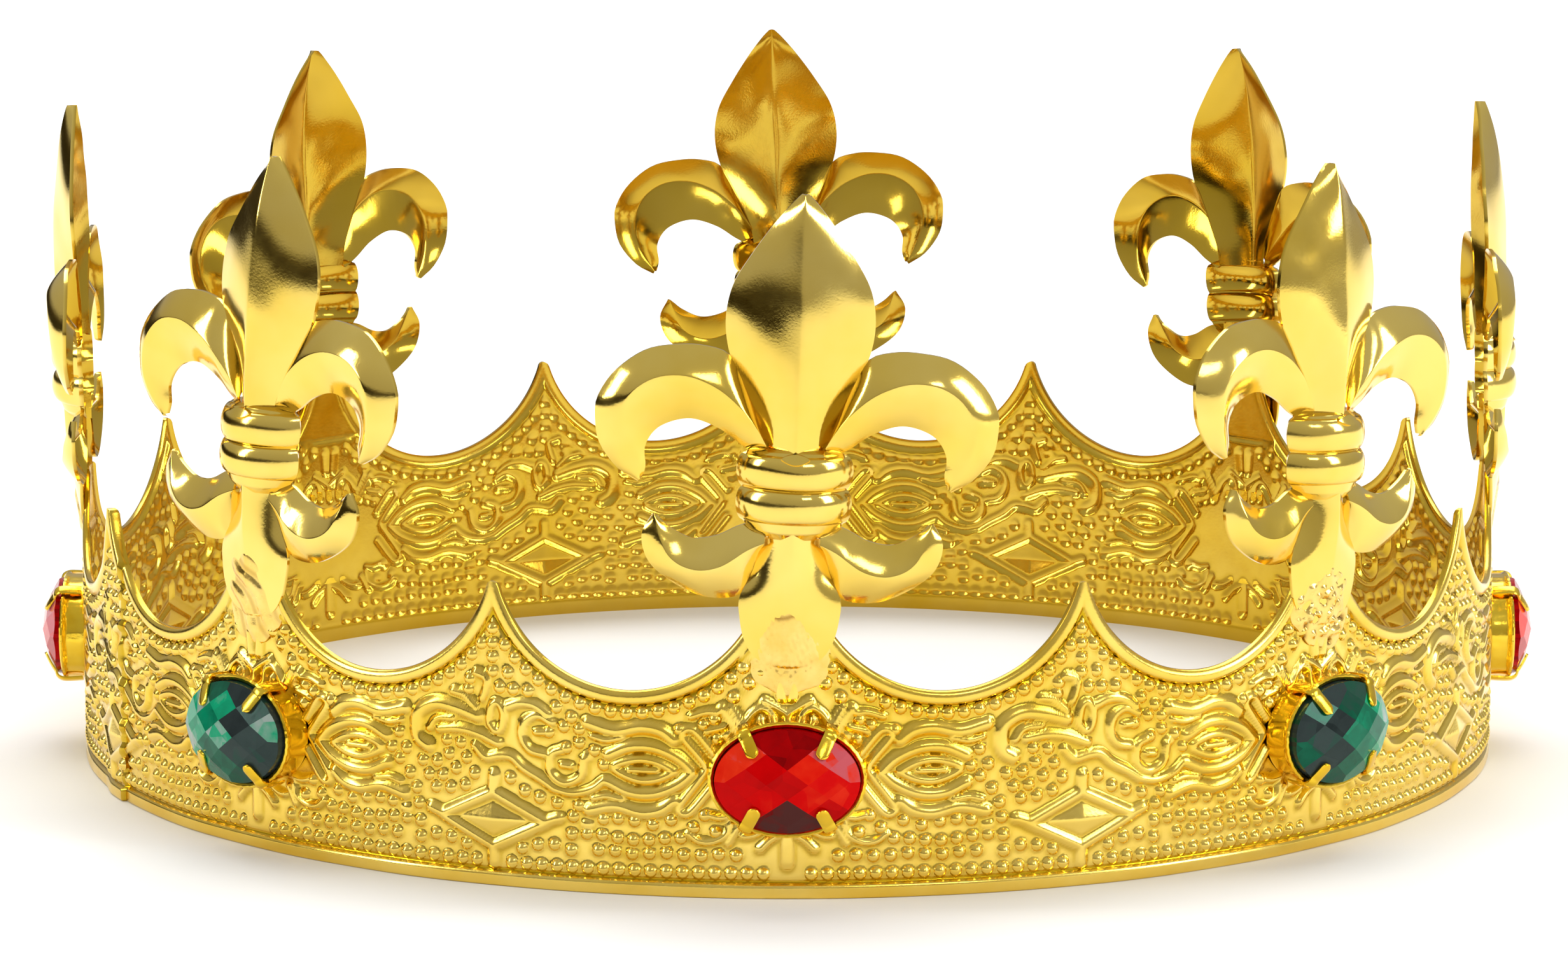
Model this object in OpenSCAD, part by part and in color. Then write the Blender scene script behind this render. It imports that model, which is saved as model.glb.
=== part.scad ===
// Costume crown: one embossed strip bent into a ring, eight fleurs-de-lis soldered on the peaks
// and eight oval glass stones in pronged cups. Millimetres, +Z up, front towards -Y.

/* [Band] */
// Inner diameter of the ring
inner_diameter = 190; // [150:1:230]
// Thickness of the strip
sheet = 0.55; // [0.4:0.05:1]
// Height of the plain cusps between the fleurs
cusp_height = 38.6; // [30:0.2:50]
// Height of the cut-off peaks behind the fleurs
peak_height = 38; // [30:0.2:50]
// Height of the strip at the bottom of each scallop
valley_height = 25.8; // [18:0.2:32]
// Radius of the scallops between peaks and cusps
scallop_radius = 17.5; // [14:0.1:24]
// Width of the rolled border along the scallops
border_width = 1.6; // [1:0.1:2.4]
// Height of the embossing over the strip
relief = 0.5; // [0.2:0.05:1]
// Height of the turned hem at the bottom
hem_height = 1.7; // [1:0.1:4]
// Width of the lap where the ends of the strip meet
lap_width = 4; // [2:0.5:8]

/* [Fleurs] */
// Number of fleurs, stones and peaks
count = 8;
// Height of the foot of each fleur above the bottom of the band
foot_height = 29.2; // [24:0.2:34]
// Length of the central petal above the collar
petal_length = 31; // [24:0.5:40]
// Widest part of the central petal
petal_width = 18.3; // [12:0.1:24]
// How far the collar stands out
collar_depth = 4.2; // [3:0.1:6]
// Thickness of the pressed sheet of the fleurs
press_sheet = 0.8; // [0.5:0.05:1.2]
// Lean of each fleur to its right in degrees, the front one first, then counter-clockwise from above
leans = [2.2, 2.4, 2.6, 2.4, 2.2, 1.9, 2.2, 2.5];

/* [Stones] */
// Length of an oval stone
stone_length = 18; // [12:0.5:24]
// Width of an oval stone
stone_width = 13; // [9:0.5:17]
// Height of the middle of the stones above the bottom of the band
stone_centre = 15.7; // [12:0.1:18]
// How far the girdle of a stone stands off the band
girdle_height = 3.4; // [2:0.1:5]
// How far the crown of a stone rises over its girdle
dome_height = 2.8; // [1:0.1:4]
// Wall of the cup
cup_wall = 0.45; // [0.3:0.05:1]
// Gap between a stone and its cup
stone_gap = 0.05; // [0.02:0.01:0.2]
// Width of a prong
prong_width = 1.4; // [0.8:0.1:2]

/* [Hidden] */
$fn = 96;
inner_radius = inner_diameter / 2;
band_radius = inner_radius + sheet;
step = 360 / count;
mm_deg = 180 / (PI * band_radius);
scallop_s = band_radius * PI / count / 2 + 1.25;
scallop_a = scallop_s * mm_deg;
scallop_z = valley_height + scallop_radius;

// Local frame on the outside of the band: x sideways, y up, z outwards.
module on_band(a, z = 0) {
  rotate([0, 0, a])
    translate([0, -band_radius, z])
      rotate([90, 0, 0])
        children();
}

// Four-arc oval with half axes a and b, grown by d on every side.
module oval(a, b, d = 0) {
  e = b * 0.77;
  r = (b * b - e * e + (a - e) * (a - e)) / (2 * (b - e));
  c = r - b;
  k = 2 * r;
  union() {
    intersection() {
      translate([0, -c]) circle(r + d);
      translate([0, c]) circle(r + d);
      polygon([[0, -c], [k * (a - e), -c + k * c], [-k * (a - e), -c + k * c]]);
    }
    intersection() {
      translate([0, -c]) circle(r + d);
      translate([0, c]) circle(r + d);
      polygon([[0, c], [k * (a - e), c - k * c], [-k * (a - e), c - k * c]]);
    }
    translate([a - e, 0]) circle(e + d);
    translate([e - a, 0]) circle(e + d);
  }
}

module stone_oval(d = 0) {
  oval(stone_length / 2, stone_width / 2, d);
}

module lens(len, wid) {
  r = (len * len + wid * wid) / (4 * wid);
  intersection() {
    translate([0, r - wid / 2]) circle(r);
    translate([0, wid / 2 - r]) circle(r);
  }
}

module ring(r, w) {
  difference() {
    circle(r + w / 2);
    circle(r - w / 2);
  }
}

module bar(x0, y0, x1, y1, w) {
  len = norm([x1 - x0, y1 - y0]);
  translate([x0, y0])
    rotate(atan2(y1 - y0, x1 - x0))
      translate([-w / 2, -w / 2])
        square([len + w, w]);
}

// Band

module diamond() {
  difference() {
    polygon([[-7, 0], [0, 3.5], [7, 0], [0, -3.5]]);
    polygon([[-5.4, 0], [0, 2.6], [5.4, 0], [0, -2.6]]);
  }
  polygon([[-4.2, 0], [0, 2], [4.2, 0], [0, -2]]);
  translate([-0.8, 3.1]) square([1.6, 2.5]);
  translate([-0.8, -5.4]) square([1.6, 2.3]);
  translate([6.2, -0.8]) square([2.6, 1.6]);
  translate([-8.8, -0.8]) square([2.6, 1.6]);
}

module lotus() {
  for (k = [0 : 2])
    difference() {
      lens(10.6 - 3.4 * k, 8.6 - 2.9 * k);
      lens(9.2 - 3.4 * k, 7.3 - 2.9 * k);
    }
  for (m = [0, 1])
    mirror([0, m])
      difference() {
        translate([2.2, 3]) lens(11.5, 5);
        translate([2.2, 3]) lens(9.8, 3.8);
        lens(10.7, 8.7);
      }
}

module scroll() {
  difference() {
    translate([-6.2, 0]) ring(3.9, 1.2);
    translate([-6.2, -6]) square([9, 7]);
  }
  bar(-5, 3.6, -2.2, 2.9, 1.2);
  bar(-1.2, 6.3, -0.2, 1.6, 1);
  bar(1, 6, 1.3, 1.8, 1);
  bar(-2.8, 0.6, -1.2, -2.4, 1);
  bar(0.2, 0.4, 1, -3, 1);
  difference() {
    translate([9.2, -3]) ring(3.9, 1.2);
    translate([4, -2.6]) square([5.2, 9]);
  }
  translate([9.3, -3.2]) circle(0.9);
}

module relief_shapes() {
  for (k = [0 : count - 1])
    for (m = [-1, 1]) {
      on_band(k * step + m * scallop_a, scallop_z)
        linear_extrude(4, center = true)
          ring(scallop_radius + border_width / 2 - 0.5, border_width + 1);
      on_band(k * step + m * scallop_a, scallop_z)
        linear_extrude(4, center = true)
          intersection() {
            ring(scallop_radius + border_width + 1.3, 0.9);
            translate([-12, -30]) square([24, 30]);
          }
      on_band(k * step + m * 17.2 * mm_deg, stone_centre)
        linear_extrude(4, center = true)
          mirror([m < 0 ? 1 : 0, 0])
            lotus();
      on_band(k * step + m * 11.5 * mm_deg, stone_centre)
        linear_extrude(4, center = true)
          mirror([m < 0 ? 1 : 0, 0]) {
            bar(-1.4, 2.3, 1.7, 5.8, 1.4);
            bar(-1.4, -2.3, 1.7, -5.3, 1.4);
          }
    }
  for (k = [0 : count - 1]) {
    on_band(k * step, foot_height + 4.4)
      linear_extrude(4, center = true)
        square([13.4, 12], center = true);
    on_band((k + 0.5) * step, 8.6)
      linear_extrude(4, center = true)
        diamond();
    on_band((k + 0.5) * step, 19)
      linear_extrude(4, center = true)
        scroll();
  }
}

module scallops() {
  for (k = [0 : count - 1])
    for (m = [-1, 1])
      on_band(k * step + m * scallop_a, scallop_z)
        cylinder(r = scallop_radius, h = 12, center = true);
}

module peak_cuts() {
  for (k = [0 : count - 1])
    on_band(k * step, peak_height + 5)
      cube([10, 10, 12], center = true);
}

module cup_clearance() {
  for (k = [0 : count - 1])
    on_band(k * step, stone_centre)
      linear_extrude(6, center = true)
        stone_oval(cup_wall + 0.5);
}

module embossed_band() {
  color([0.86, 0.7, 0.3])
    difference() {
      union() {
        rotate_extrude()
          polygon([
            [inner_radius, 0], [band_radius + relief - 0.1, 0],
            [band_radius + relief, 0.1], [band_radius + relief, hem_height - 0.1],
            [band_radius + relief - 0.1, hem_height], [band_radius, hem_height + 0.5],
            [band_radius, cusp_height], [inner_radius, cusp_height]
          ]);
        translate([0, 0, hem_height + 1.7])
          rotate_extrude()
            translate([band_radius - 0.2, 0]) circle(0.7);
        difference() {
          intersection() {
            relief_shapes();
            rotate_extrude()
              translate([inner_radius + 0.2, hem_height])
                square([sheet + relief - 0.2, cusp_height - hem_height]);
          }
          cup_clearance();
        }
        intersection() {
          rotate([0, 0, -1.5 * step])
            translate([0, -band_radius - 2, 0])
              cube([lap_width, 4, cusp_height]);
          difference() {
            cylinder(r = band_radius + relief, h = cusp_height);
            cylinder(r = inner_radius + 0.2, h = cusp_height);
          }
        }
      }
      scallops();
      peak_cuts();
      translate([0, 0, -5])
        cylinder(r = inner_radius, h = 60);
    }
}

// Fleurs

// V-shaped sheet along y, ridge height h0 at y0 and h1 at y1.
module roof(y0, y1, h0, h1, slope, t) {
  tilt = atan2(h1 - h0, y1 - y0);
  len = norm([y1 - y0, h1 - h0]);
  w = 14;
  translate([0, y0, h0])
    rotate([tilt, 0, 0])
      rotate([-90, 180, 0])
        translate([0, 0, -1])
          linear_extrude(len + 2)
            polygon([[0, 0], [w, -w * slope], [w, -w * slope - t], [0, -t], [-w, -w * slope - t], [-w, -w * slope]]);
}

// V-shaped sheet along an arc, ridge radius r and height h.
module curl_roof(r, h, w_in, s_in, w_out, s_out, t) {
  rotate_extrude()
    polygon([
      [r, h], [r + w_out, h - w_out * s_out], [r + w_out, h - w_out * s_out - t],
      [r, h - t], [r - w_in, h - w_in * s_in - t], [r - w_in, h - w_in * s_in]
    ]);
}

module petal_outline() {
  w = petal_width / 2;
  c = 27.5 + petal_length / 2;
  rr = (petal_length * petal_length / 4 + w * w) / (2 * w);
  intersection() {
    translate([rr - w, c]) circle(rr);
    translate([w - rr, c]) circle(rr);
  }
  translate([-4, 22]) square([8, 12]);
}

module arm_outline() {
  difference() {
    union() {
      translate([15.6, 30.8]) circle(8.95);
      polygon([[3, 24.5], [3, 31], [8.6, 38.7], [15, 39.6], [15, 30], [9.5, 29.2], [6.6, 27], [6, 24.5]]);
    }
    translate([13.2, 24.9]) circle(5.5);
    polygon([[13.2, 24.9], [6.6, 27], [6, 20], [18.2, 21], [18.6, 23.4]]);
  }
}

module curl_outline() {
  difference() {
    union() {
      translate([11.6, 15.4]) circle(6.9);
      polygon([[3, 9], [11.2, 8.7], [11, 17], [3, 17.6]]);
    }
    translate([11.6, 21.6]) circle(6);
    translate([2, 17.4]) square([5.4, 8]);
  }
}

module stem_outline() {
  intersection() {
    polygon([
      [-3.4, 18.5], [-3.7, 15.5], [-4.7, 12], [-6.2, 8.6], [-6.1, 6], [-5.5, 3.4], [-4.4, 0.6], [-3, 0],
      [3, 0], [4.4, 0.6], [5.5, 3.4], [6.1, 6], [6.2, 8.6], [4.7, 12], [3.7, 15.5], [3.4, 18.5]
    ]);
    translate([0, 11]) circle(11);
  }
}

module collar() {
  rc = (7.2 * 7.2 + collar_depth * collar_depth) / (2 * collar_depth);
  a = asin(7.2 / rc);
  translate([0, 0, collar_depth - rc])
    rotate([-90, 0, 0])
      rotate([0, 0, -90 - a])
        rotate_extrude(angle = 2 * a)
          union() {
            translate([rc - 1.5, 16.6]) square([0.9, 9.8]);
            intersection() {
              union() {
                translate([rc - 2.03, 24.5]) circle(2.1);
                translate([rc - 2.03, 20.35]) circle(2.1);
              }
              translate([rc - 1.4, 15]) square([3, 13]);
            }
            polygon([
              [rc - 1.6, 20.3], [rc - 0.6, 20.3], [rc - 0.75, 18.4], [rc - 1.3, 16.2], [rc - 2.3, 16.2]
            ]);
          }
}

module fleur() {
  t = press_sheet;
  union() {
    intersection() {
      linear_extrude(12, center = true) petal_outline();
      roof(24, 27.5 + petal_length, 3.3, 1.3, 0.25, t);
    }
    for (m = [0, 1])
      mirror([m, 0, 0]) {
        intersection() {
          linear_extrude(12, center = true) arm_outline();
          translate([14.2, 28.9, 0])
            curl_roof(7.5, 2.5, 7, 0.41, 6, 0.62, t);
        }
        intersection() {
          linear_extrude(12, center = true) curl_outline();
          translate([11, 19, 0])
            curl_roof(6.9, 2.2, 6, 0.55, 6, 0.66, t);
        }
      }
    intersection() {
      linear_extrude(12, center = true) stem_outline();
      roof(0, 18.5, 1.6, 2.7, 0.3, 2.6);
    }
    collar();
  }
}

module place_fleur(k) {
  on_band(k * step, foot_height)
    rotate([0, 0, -leans[k]])
      children();
}

module core(r, h) {
  cylinder(r = r, h = h, $fn = 720);
}

module placed_fleur(k) {
  color([0.88, 0.73, 0.34])
    difference() {
      place_fleur(k) fleur();
      core(band_radius + relief, peak_height);
      core(band_radius, foot_height + 19);
    }
}

module placed_solder(k) {
  color([0.8, 0.7, 0.45])
    difference() {
      place_fleur(k)
        linear_extrude(3.2, center = true)
          difference() {
            union() {
              translate([0, 3.9]) circle(5.5);
              translate([-3.1, 3.2]) circle(3.1);
              translate([3.2, 3.1]) circle(3);
            }
            stem_outline();
          }
      core(band_radius + relief, 60);
    }
}

// Stones and cups

module stone_body() {
  a = stone_length / 2;
  b = stone_width / 2;
  h = dome_height;
  difference() {
    translate([0, 0, girdle_height - 2.2])
      linear_extrude(2.2 + dome_height) stone_oval();
    for (i = [-3 : 3])
      for (j = [-3 : 3])
        if (abs(i + j) % 2 == 0 && norm([i, j]) < 3.7) {
          x = i * a / 3.5;
          y = j * b / 3.5;
          q = min(0.93, norm([i, j]) / 3.5);
          z = h * (1 - 0.78 * q * q);
          translate([x, y, girdle_height + z])
            rotate([0, 0, atan2(y / b, x / a)])
              rotate([0, atan2(1.56 * q * h, a + (b - a) * abs(sin(atan2(y, x)))), 0])
                translate([0, 0, 5])
                  cube([40, 40, 10], center = true);
        }
  }
}

module cup_body() {
  d = cup_wall + stone_gap;
  translate([0, 0, -1])
    linear_extrude(girdle_height - 1.2 - stone_gap) stone_oval(d);
  translate([0, 0, 0.3])
    linear_extrude(girdle_height - 0.4)
      difference() {
        stone_oval(d);
        stone_oval(stone_gap);
      }
  translate([0, 0, girdle_height - 0.7])
    linear_extrude(0.5)
      difference() {
        stone_oval(d + 0.2);
        stone_oval(stone_gap + 0.1);
      }
  for (sx = [-1, 1])
    for (sy = [-1, 1])
      difference() {
        translate([sx * 5, sy * 4.75, 0])
          rotate([0, 0, atan2(sy * 4.75, sx * 2.6)])
            prong_shape();
        translate([0, 0, girdle_height - 5]) linear_extrude(5) stone_oval(stone_gap + 0.15);
        stone_body();
      }
}

// Prong along +x outwards: foot on the cup, round end over the stone.
module prong_shape() {
  w = prong_width;
  intersection() {
    translate([0, w / 2, 0])
      rotate([90, 0, 0])
        linear_extrude(w)
          polygon([
            [1.9, 0.6], [1.9, girdle_height + 0.5], [1.2, girdle_height + 1.4],
            [-1.2, girdle_height + 2.35], [-1.2, girdle_height + 0.6], [0.4, girdle_height - 0.1], [1.1, 0.6]
          ]);
    union() {
      translate([-0.2, 0, -1]) cylinder(r = w * 0.7, h = 12);
      translate([0.1, -w, -1]) cube([6, 2 * w, 12]);
    }
  }
}

module placed_cup(k) {
  color([0.9, 0.72, 0.22])
    difference() {
      on_band(k * step, stone_centre) cup_body();
      core(band_radius, 60);
    }
}

module placed_stone(k) {
  color(k % 2 == 0 ? [0.75, 0.02, 0.04] : [0.02, 0.4, 0.2])
    on_band(k * step, stone_centre) stone_body();
}

module fleur_front() { placed_fleur(0); }
module fleur_front_right() { placed_fleur(1); }
module fleur_right() { placed_fleur(2); }
module fleur_back_right() { placed_fleur(3); }
module fleur_back() { placed_fleur(4); }
module fleur_back_left() { placed_fleur(5); }
module fleur_left() { placed_fleur(6); }
module fleur_front_left() { placed_fleur(7); }
module cup_front() { placed_cup(0); }
module cup_front_right() { placed_cup(1); }
module cup_right() { placed_cup(2); }
module cup_back_right() { placed_cup(3); }
module cup_back() { placed_cup(4); }
module cup_back_left() { placed_cup(5); }
module cup_left() { placed_cup(6); }
module cup_front_left() { placed_cup(7); }
module stone_front() { placed_stone(0); }
module stone_front_right() { placed_stone(1); }
module stone_right() { placed_stone(2); }
module stone_back_right() { placed_stone(3); }
module stone_back() { placed_stone(4); }
module stone_back_left() { placed_stone(5); }
module stone_left() { placed_stone(6); }
module stone_front_left() { placed_stone(7); }
module solder_front() { placed_solder(0); }
module solder_front_right() { placed_solder(1); }
module solder_right() { placed_solder(2); }
module solder_back_right() { placed_solder(3); }
module solder_back() { placed_solder(4); }
module solder_back_left() { placed_solder(5); }
module solder_left() { placed_solder(6); }
module solder_front_left() { placed_solder(7); }

embossed_band();
fleur_front();
fleur_front_right();
fleur_right();
fleur_back_right();
fleur_back();
fleur_back_left();
fleur_left();
fleur_front_left();
cup_front();
cup_front_right();
cup_right();
cup_back_right();
cup_back();
cup_back_left();
cup_left();
cup_front_left();
stone_front();
stone_front_right();
stone_right();
stone_back_right();
stone_back();
stone_back_left();
stone_left();
stone_front_left();
solder_front();
solder_front_right();
solder_right();
solder_back_right();
solder_back();
solder_back_left();
solder_left();
solder_front_left();
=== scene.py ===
import math
import random

import bmesh
import bpy
import numpy as np
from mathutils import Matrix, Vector


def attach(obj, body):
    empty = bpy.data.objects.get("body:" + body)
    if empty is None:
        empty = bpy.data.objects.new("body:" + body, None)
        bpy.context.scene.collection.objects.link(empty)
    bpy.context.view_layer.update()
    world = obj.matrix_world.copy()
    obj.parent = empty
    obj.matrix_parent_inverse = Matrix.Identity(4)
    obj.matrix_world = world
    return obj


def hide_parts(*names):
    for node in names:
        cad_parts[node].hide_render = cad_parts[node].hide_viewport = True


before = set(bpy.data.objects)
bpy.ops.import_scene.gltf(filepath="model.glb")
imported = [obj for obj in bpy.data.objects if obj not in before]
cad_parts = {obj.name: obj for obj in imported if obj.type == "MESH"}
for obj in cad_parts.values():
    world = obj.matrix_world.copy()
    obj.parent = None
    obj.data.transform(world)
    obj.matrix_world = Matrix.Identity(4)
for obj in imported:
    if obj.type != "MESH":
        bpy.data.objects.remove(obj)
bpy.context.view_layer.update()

print("crown: frame loaded,", len(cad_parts), "nodes")

# Everything below is drawn in millimetres and turned into metres when a mesh is made.
crown = {
    "radius": 95.55,  # outside of the flat strip
    "period": 75.0,  # from one fleur to the next, along the strip
    "footHeight": 29.2,
    "stoneHeight": 15.7,
    "places": ["front", "front_right", "right", "back_right", "back", "back_left", "left", "front_left"],
    "leans": [2.2, 2.4, 2.6, 2.4, 2.2, 1.9, 2.2, 2.5],  # degrees to the fleur's own right
    "pitches": [0.0, -1.4, -1.4, -0.3, -0.3, -0.3, 1.0, -2.2],  # how far the tip is bent outwards
    "lifts": [0.0, 0.0, 0.0, 0.0, 0.0, 0.0, 0.0, 1.2],
}


def onStrip(azimuth, z, points):
    # points are (sideways, up, outwards) from a spot on the outside of the strip
    a = math.radians(azimuth)
    p = np.asarray(points, float)
    out = np.empty_like(p)
    reach = crown["radius"] + p[..., 2]
    out[..., 0] = p[..., 0] * math.cos(a) + reach * math.sin(a)
    out[..., 1] = p[..., 0] * math.sin(a) - reach * math.cos(a)
    out[..., 2] = p[..., 1] + z
    return out * 0.001


def leaned(u, v, w, lean):
    # turned in its own plane to the fleur's lean
    cos, sin = math.cos(lean), math.sin(lean)
    return np.stack([u * cos + v * sin, v * cos - u * sin, w], -1)


def smoothLine(points, count):
    # Catmull-Rom through the points, then evenly spaced along its length
    p = np.asarray(points, float)
    p = np.vstack([2 * p[0] - p[1], p, 2 * p[-1] - p[-2]])
    t = np.linspace(0, 1, 16, endpoint=False)[:, None]
    runs = []
    for i in range(1, len(p) - 2):
        a, b, c, d = p[i - 1], p[i], p[i + 1], p[i + 2]
        bend, twist = 2 * a - 5 * b + 4 * c - d, 3 * b - a - 3 * c + d
        runs.append(0.5 * (2 * b + (c - a) * t + bend * t**2 + twist * t**3))
    line = np.vstack(runs + [p[-2:-1]])
    along = np.concatenate([[0], np.cumsum(np.linalg.norm(np.diff(line, axis=0), axis=1))])
    at = np.linspace(0, along[-1], count)
    return np.stack([np.interp(at, along, line[:, k]) for k in range(line.shape[1])], 1)


def newPart():
    return {"verts": [], "faces": [], "count": 0, "inside": []}


def addSheet(part, front, back):
    # two grids of the same size, sewn together all round into a closed sheet
    n, m = front.shape[:2]
    outer = part["count"] + np.arange(n * m).reshape(n, m)
    inner = outer + n * m
    part["verts"] += front.reshape(-1, 3).tolist() + back.reshape(-1, 3).tolist()
    part["inside"] += [0.0] * (n * m) + [1.0] * (n * m)
    part["count"] += 2 * n * m

    def quads(*corners):
        part["faces"] += np.stack(corners, -1).reshape(-1, 4).tolist()

    quads(outer[:-1, :-1], outer[1:, :-1], outer[1:, 1:], outer[:-1, 1:])
    quads(inner[:-1, :-1], inner[:-1, 1:], inner[1:, 1:], inner[1:, :-1])
    quads(outer[:-1, 0], inner[:-1, 0], inner[1:, 0], outer[1:, 0])
    quads(outer[:-1, -1], outer[1:, -1], inner[1:, -1], inner[:-1, -1])
    quads(outer[0, :-1], outer[0, 1:], inner[0, 1:], inner[0, :-1])
    quads(outer[-1, :-1], inner[-1, :-1], inner[-1, 1:], outer[-1, 1:])


def finishPiece(name, verts, faces, material, node, sharp, recalc=True):
    mesh = bpy.data.meshes.new(name)
    mesh.from_pydata(verts, [], faces)
    if recalc:
        work = bmesh.new()
        work.from_mesh(mesh)
        bmesh.ops.recalc_face_normals(work, faces=work.faces)
        work.to_mesh(mesh)
        work.free()
    mesh.polygons.foreach_set("use_smooth", [True] * len(mesh.polygons))
    if sharp:
        mesh.set_sharp_from_angle(angle=math.radians(sharp))
    mesh.materials.append(material)
    piece = bpy.data.objects.new(name, mesh)
    bpy.context.collection.objects.link(piece)
    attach(piece, "root")
    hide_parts(node)
    return piece


def paintPoints(piece, values):
    # how much of the darker colour each point has: painted shade in creases, hollows and on inner sides,
    # and the darker lap line and solder marks
    crease = piece.data.attributes.new("crease", "FLOAT", "POINT")
    crease.data.foreach_set("value", values)


def newMaterial(name):
    made = bpy.data.materials.new(name)
    made.use_nodes = True
    nodes, links = made.node_tree.nodes, made.node_tree.links
    return made, nodes, links, nodes["Principled BSDF"]


def noiseNode(nodes, links, where, scale, detail=3.0, rough=0.55):
    noise = nodes.new("ShaderNodeTexNoise")
    noise.inputs["Scale"].default_value = scale
    noise.inputs["Detail"].default_value = detail
    noise.inputs["Roughness"].default_value = rough
    links.new(where, noise.inputs["Vector"])
    return noise


def rampNode(nodes, links, fac, stops):
    ramp = nodes.new("ShaderNodeValToRGB")
    while len(ramp.color_ramp.elements) < len(stops):
        ramp.color_ramp.elements.new(0.5)
    for element, (at, colour) in zip(ramp.color_ramp.elements, stops):
        element.position = at
        element.color = (*colour, 1)
    links.new(fac, ramp.inputs["Fac"])
    return ramp


def spreadNode(nodes, links, value, lowIn, highIn, lowOut, highOut):
    spread = nodes.new("ShaderNodeMapRange")
    for k, v in zip(("From Min", "From Max", "To Min", "To Max"), (lowIn, highIn, lowOut, highOut)):
        spread.inputs[k].default_value = v
    links.new(value, spread.inputs["Value"])
    return spread


def sumNode(nodes, links, first, second):
    total = nodes.new("ShaderNodeMath")
    total.operation = "ADD"
    links.new(first, total.inputs[0])
    links.new(second, total.inputs[1])
    return total


def bumpNode(nodes, links, height, strength, distance, under=None):
    bump = nodes.new("ShaderNodeBump")
    bump.inputs["Strength"].default_value = strength
    bump.inputs["Distance"].default_value = distance
    links.new(height, bump.inputs["Height"])
    if under:
        links.new(under.outputs["Normal"], bump.inputs["Normal"])
    return bump


# hollow is the darker colour mixed in as painted shade, and for the solder's dark marks
goldFinishes = {
    "bandGold": {
        "pale": (0.93, 0.68, 0.15), "deep": (0.86, 0.57, 0.07), "hollow": (0.58, 0.36, 0.01),
        "patches": 70, "polish": (0.13, 0.27), "grain": 2600, "grainDepth": 0.00002, "ripple": 160,
        "rippleDepth": 0.00008,
    },
    "fleurGold": {
        "pale": (0.94, 0.70, 0.18), "deep": (0.87, 0.60, 0.09), "hollow": (0.54, 0.33, 0.01),
        "patches": 45, "polish": (0.07, 0.17), "grain": 3200, "grainDepth": 0.000012, "ripple": 70,
        "rippleDepth": 0.00007,
    },
    "cupGold": {
        "pale": (0.95, 0.66, 0.06), "deep": (0.86, 0.52, 0.02), "hollow": (0.50, 0.26, 0.02),
        "patches": 180, "polish": (0.10, 0.24), "grain": 3000, "grainDepth": 0.00002, "ripple": 420,
        "rippleDepth": 0.00012,
    },
    "solderGold": {
        "pale": (0.95, 0.68, 0.20), "deep": (0.85, 0.55, 0.11), "hollow": (0.28, 0.13, 0.02),
        "patches": 260, "polish": (0.16, 0.30), "grain": 2200, "grainDepth": 0.00003, "ripple": 700,
        "rippleDepth": 0.0001,
    },
}


def goldMaterial(name, hollowName=None):
    spec = goldFinishes[name]
    made, nodes, links, shader = newMaterial(name)
    shader.inputs["Metallic"].default_value = 1.0
    place = nodes.new("ShaderNodeTexCoord").outputs["Object"]
    patches = noiseNode(nodes, links, place, spec["patches"], 4)
    tone = rampNode(nodes, links, patches.outputs["Fac"], [(0.32, spec["deep"]), (0.62, spec["pale"])])
    colour = tone.outputs["Color"]
    if hollowName:
        # painted shade: creases, hollows and inner sides are mixed towards a darker, redder colour than
        # the raised gold; the solder's darker pits, fold valleys and line use it too
        shadeAndMarks = nodes.new("ShaderNodeAttribute")
        shadeAndMarks.attribute_name = hollowName
        mix = nodes.new("ShaderNodeMix")
        mix.data_type = "RGBA"
        links.new(shadeAndMarks.outputs["Fac"], mix.inputs["Factor"])
        links.new(colour, mix.inputs["A"])
        mix.inputs["B"].default_value = (*spec["hollow"], 1)
        colour = mix.outputs["Result"]
    links.new(colour, shader.inputs["Base Color"])
    grain = noiseNode(nodes, links, place, spec["grain"], 2)
    smear = noiseNode(nodes, links, place, spec["patches"] * 3.1, 5, 0.7)
    polish = spreadNode(nodes, links, smear.outputs["Fac"], 0.3, 0.7, *spec["polish"])
    links.new(polish.outputs["Result"], shader.inputs["Roughness"])
    ripple = noiseNode(nodes, links, place, spec["ripple"], 2, 0.4)
    wide = bumpNode(nodes, links, ripple.outputs["Fac"], 0.6, spec["rippleDepth"])
    fine = bumpNode(nodes, links, grain.outputs["Fac"], 0.5, spec["grainDepth"], wide)
    links.new(fine.outputs["Normal"], shader.inputs["Normal"])
    return made


# painted light: each ramp runs from painted shade up to a painted highlight colour, picked by the facets'
# painted light
stoneFinishes = {
    "redStone": {
        "gleam": (1.0, 0.12, 0.08),
        "litAndShadedTones": [
            (0.0, (0.07, 0.022, 0.02)), (0.12, (0.16, 0.0, 0.001)), (0.35, (0.36, 0.0, 0.001)),
            (0.7, (0.62, 0.0, 0.001)), (0.9, (0.74, 0.03, 0.008)), (1.0, (0.56, 0.10, 0.12)),
        ],
    },
    "greenStone": {
        "gleam": (0.5, 1.0, 0.8),
        "litAndShadedTones": [
            (0.0, (0.010, 0.013, 0.014)), (0.3, (0.03, 0.04, 0.04)), (0.5, (0.0, 0.06, 0.03)),
            (0.7, (0.002, 0.14, 0.07)), (0.88, (0.0, 0.30, 0.14)), (1.0, (0.30, 0.36, 0.33)),
        ],
    },
}


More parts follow.
